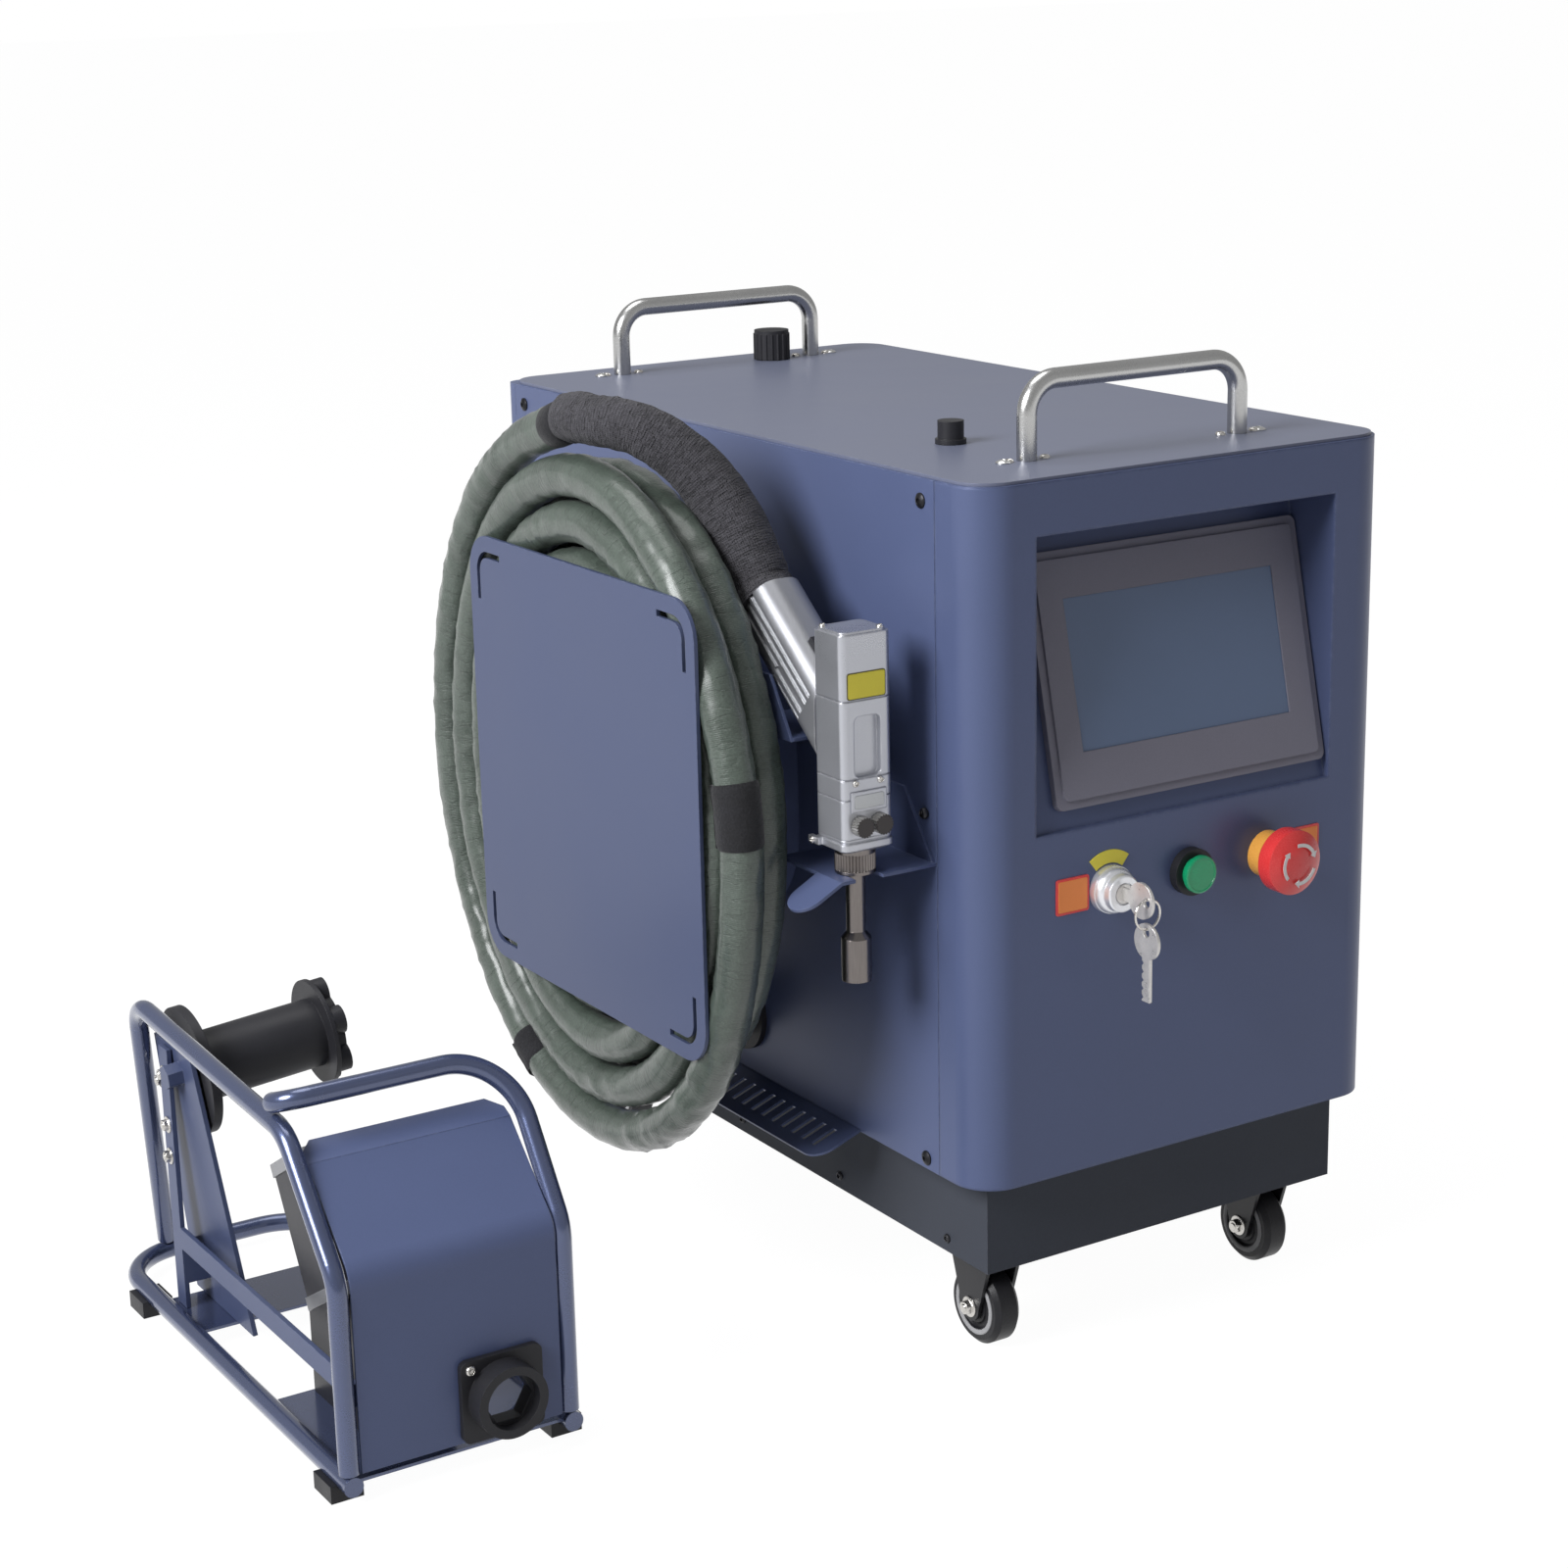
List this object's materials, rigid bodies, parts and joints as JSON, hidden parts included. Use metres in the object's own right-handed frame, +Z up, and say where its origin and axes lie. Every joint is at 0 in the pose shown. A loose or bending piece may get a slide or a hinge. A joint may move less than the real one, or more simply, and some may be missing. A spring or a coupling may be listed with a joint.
{
  "type": "laser welding machine",
  "caption": "Hand-held laser welder: wheeled upright cabinet with touch screen and controls, side-hung coiled hose with welding gun, and a separate wire feeder with spool hub.",
  "frame": {"origin": "middle of the bounding box without the hose, on the floor", "axes": "-Y out of the cabinet's front with the screen, +Z up, -X towards the side that carries the hose and the feeder"},
  "size_m": [0.7216, 0.6434, 0.601],
  "materials": {
    "paint": "satin blue-grey powder coat",
    "lid_paint": "satin grey-blue powder coat",
    "tray_paint": "satin dark grey powder coat",
    "zinc_steel": "zinc plated",
    "stainless": "polished stainless",
    "gun_aluminium": "satin anodised",
    "dark_steel": "black oxide",
    "wheel_rubber": "matte",
    "black_plastic": "moulded, matte",
    "black_metal": "satin black",
    "display_plastic": "textured grey",
    "display_glass": "glossy dark screen",
    "source_blue": "satin",
    "supply_metal": "plain",
    "tank_plastic": "translucent white moulding",
    "yellow_plastic": "glossy yellow",
    "red_plastic": "glossy red",
    "green_lens": "glossy green",
    "hose_rubber": "matte dark green-grey",
    "wrap_cloth": "woven black cloth"
  },
  "bodies": {
    "cabinet": {"base_tray": "tray_paint", "chassis": "zinc_steel", "front_cover": "paint", "left_panel": "paint", "right_panel": "paint", "rear_cover": "paint", "lid": "lid_paint", "cabinet_screws": "dark_steel", "front_handle": "stainless", "rear_handle": "stainless", "display_unit": "display_plastic", "display_screen": "display_glass", "laser_source": "source_blue", "power_supply": "supply_metal", "water_tank": "tank_plastic", "radiator": "supply_metal", "fan_frame": "black_plastic", "fittings": "black_plastic", "front_forks": "dark_steel", "estop_base": "yellow_plastic", "start_bezel": "black_plastic", "key_housing": "stainless", "hanger_plate": "paint", "hanger_drum": "paint", "gun_brackets": "paint", "hose_port": "hose_rubber", "hose_coil": "hose_rubber", "hose_tail": "hose_rubber", "hose_lead": "wrap_cloth"},
    "fan": {"fan_rotor": "black_plastic"},
    "cap": {"filler_cap": "black_plastic"},
    "wheel_front_left": {"front_wheel_left": "wheel_rubber"},
    "wheel_front_right": {"front_wheel_right": "wheel_rubber"},
    "swivel_left": {"rear_fork_left": "dark_steel"},
    "swivel_right": {"rear_fork_right": "dark_steel"},
    "wheel_rear_left": {"rear_wheel_left": "wheel_rubber"},
    "wheel_rear_right": {"rear_wheel_right": "wheel_rubber"},
    "stop_plunger": {"estop_stem": "black_plastic"},
    "stop_head": {"estop_head": "red_plastic"},
    "start": {"start_button": "green_lens"},
    "switch_key": {"key": "stainless"},
    "ring": {"key_ring": "stainless"},
    "hanging_key": {"spare_key": "stainless"},
    "gun": {"gun_head": "gun_aluminium", "gun_handle": "gun_aluminium", "gun_nozzle": "stainless"},
    "drawer": {"lens_drawer": "gun_aluminium"},
    "thumb_left": {"thumb_screw_left": "dark_steel"},
    "thumb_right": {"thumb_screw_right": "dark_steel"},
    "trigger": {"gun_trigger": "black_plastic"},
    "feeder": {"feeder_side": "paint", "feeder_hoop": "paint", "feeder_base": "paint", "spool_plate": "paint", "feeder_cover": "paint", "feeder_motor": "black_metal", "feeder_drive": "black_metal", "feeder_socket": "black_plastic", "feeder_feet": "wheel_rubber"},
    "hub": {"spool_hub": "black_plastic"}
  },
  "joints": [
    {"name": "front_left_roll", "type": "hinge", "parent": "cabinet", "child": "wheel_front_left", "pos_m": [0.06524, -0.21575, 0.025], "axis": [1, 0, 0], "continuous": true},
    {"name": "front_right_roll", "type": "hinge", "parent": "cabinet", "child": "wheel_front_right", "pos_m": [0.28124, -0.21575, 0.025], "axis": [1, 0, 0], "continuous": true},
    {"name": "rear_left_swivel", "type": "hinge", "parent": "cabinet", "child": "swivel_left", "pos_m": [0.06524, 0.21975, 0.065], "axis": [0, 0, 1], "continuous": true},
    {"name": "rear_right_swivel", "type": "hinge", "parent": "cabinet", "child": "swivel_right", "pos_m": [0.28124, 0.21975, 0.065], "axis": [0, 0, 1], "continuous": true},
    {"name": "rear_left_roll", "type": "hinge", "parent": "swivel_left", "child": "wheel_rear_left", "pos_m": [0.06524, 0.23575, 0.025], "axis": [1, 0, 0], "continuous": true},
    {"name": "rear_right_roll", "type": "hinge", "parent": "swivel_right", "child": "wheel_rear_right", "pos_m": [0.28124, 0.23575, 0.025], "axis": [1, 0, 0], "continuous": true},
    {"name": "fan_spin", "type": "hinge", "parent": "cabinet", "child": "fan", "pos_m": [0.17324, 0.28075, 0.265], "axis": [0, 1, 0], "continuous": true},
    {"name": "filler_cap_turn", "type": "hinge", "parent": "cabinet", "child": "cap", "pos_m": [0.21824, 0.25775, 0.56], "axis": [0, 0, 1], "range_deg": [0, 90]},
    {"name": "stop_push", "type": "slide", "parent": "cabinet", "child": "stop_plunger", "axis": [0, 1, 0], "range_m": [0, 0.004], "stiffness_N_per_m": 1200, "springref_m": -0.003},
    {"name": "stop_twist", "type": "hinge", "parent": "stop_plunger", "child": "stop_head", "pos_m": [0.23424, -0.29425, 0.3], "axis": [0, 1, 0], "range_deg": [0, 45], "stiffness_Nm_per_rad": 0.03, "springref_deg": -11.46},
    {"name": "start_push", "type": "slide", "parent": "cabinet", "child": "start", "axis": [0, 1, 0], "range_m": [0, 0.003], "stiffness_N_per_m": 500, "springref_m": -0.003},
    {"name": "key_turn", "type": "hinge", "parent": "cabinet", "child": "switch_key", "pos_m": [0.11324, -0.29425, 0.3], "axis": [0, 1, 0], "range_deg": [0, 90]},
    {"name": "ring_swing", "type": "hinge", "parent": "switch_key", "child": "ring", "pos_m": [0.11324, -0.31075, 0.3019], "axis": [1, 0, 0], "range_deg": [-30, 15]},
    {"name": "spare_key_swing", "type": "hinge", "parent": "ring", "child": "hanging_key", "pos_m": [0.11324, -0.31075, 0.2839], "axis": [1, 0, 0], "range_deg": [-12, 12]},
    {"name": "gun_lift", "type": "slide", "parent": "cabinet", "child": "gun", "axis": [0, 0, 1], "range_m": [0, 0.09], "deforming": ["hose_lead"]},
    {"name": "drawer_slide", "type": "slide", "parent": "gun", "child": "drawer", "axis": [0, -1, 0], "range_m": [0, 0.02]},
    {"name": "thumb_left_turn", "type": "hinge", "parent": "gun", "child": "thumb_left", "pos_m": [-0.03426, -0.23625, 0.354], "axis": [0, 1, 0], "continuous": true},
    {"name": "thumb_right_turn", "type": "hinge", "parent": "gun", "child": "thumb_right", "pos_m": [-0.02126, -0.23625, 0.354], "axis": [0, 1, 0], "continuous": true},
    {"name": "trigger_pull", "type": "slide", "parent": "gun", "child": "trigger", "axis": [0, 0.6252, -0.7804], "range_m": [0, 0.0025], "stiffness_N_per_m": 400, "springref_m": -0.002},
    {"name": "feeder_lift", "type": "slide", "parent": "cabinet", "child": "feeder", "axis": [0, 0, 1], "range_m": [0, 0.25]},
    {"name": "hub_spin", "type": "hinge", "parent": "feeder", "child": "hub", "pos_m": [-0.33178, 0.07875, 0.17382], "axis": [0.9962, 0, 0.0872], "continuous": true}
  ]
}
